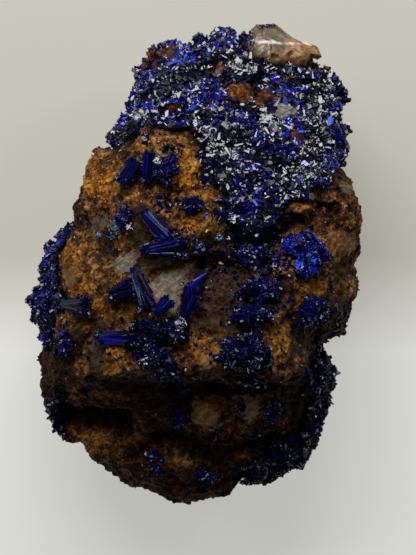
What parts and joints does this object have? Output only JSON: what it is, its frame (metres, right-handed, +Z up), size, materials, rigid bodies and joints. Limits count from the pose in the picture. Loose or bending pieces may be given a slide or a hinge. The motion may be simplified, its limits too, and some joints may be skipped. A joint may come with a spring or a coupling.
{
  "type": "azurite specimen",
  "caption": "Hand specimen of rusty quartz rock, crusted at its top and edges with deep blue azurite, with bladed azurite rosettes over its face.",
  "frame": {"origin": "on the resting face, under the middle of the specimen", "axes": "+Z up out of the display face, +Y towards the top of the display face, +X towards its right side"},
  "size_m": [0.034, 0.0488, 0.0261],
  "materials": {
    "rock": "rough, iron-stained",
    "quartz": "glossy, cloudy",
    "azurite_crust": "glittering druse",
    "azurite_crystal": "glassy crystal"
  },
  "bodies": {
    "root": {"matrix": "rock", "quartz_top": "quartz", "azurite_crust_upper": "azurite_crust", "azurite_crust_left": "azurite_crust", "azurite_crust_lower_right": "azurite_crust", "azurite_crystal_upper_left": "azurite_crystal", "azurite_cluster_upper": "azurite_crystal", "azurite_spray_centre": "azurite_crystal", "azurite_cluster_middle": "azurite_crystal", "azurite_tuft_left": "azurite_crystal", "azurite_tuft_middle": "azurite_crystal", "azurite_spray_left": "azurite_crystal", "azurite_blade_lower": "azurite_crystal", "azurite_spray_right": "azurite_crystal", "azurite_cluster_lower": "azurite_crystal", "azurite_column": "azurite_crystal", "azurite_finger_left": "azurite_crystal", "azurite_tuft_low_left": "azurite_crystal", "azurite_rosette_right": "azurite_crystal", "azurite_tuft_shelf": "azurite_crystal", "azurite_rosette_small": "azurite_crystal", "azurite_rosette_edge": "azurite_crystal", "azurite_tuft_centre": "azurite_crystal", "azurite_rosette_lower": "azurite_crystal", "azurite_vein_lower": "azurite_crystal", "azurite_grain_foot": "azurite_crystal", "azurite_grain_foot_left": "azurite_crystal"}
  },
  "joints": []
}
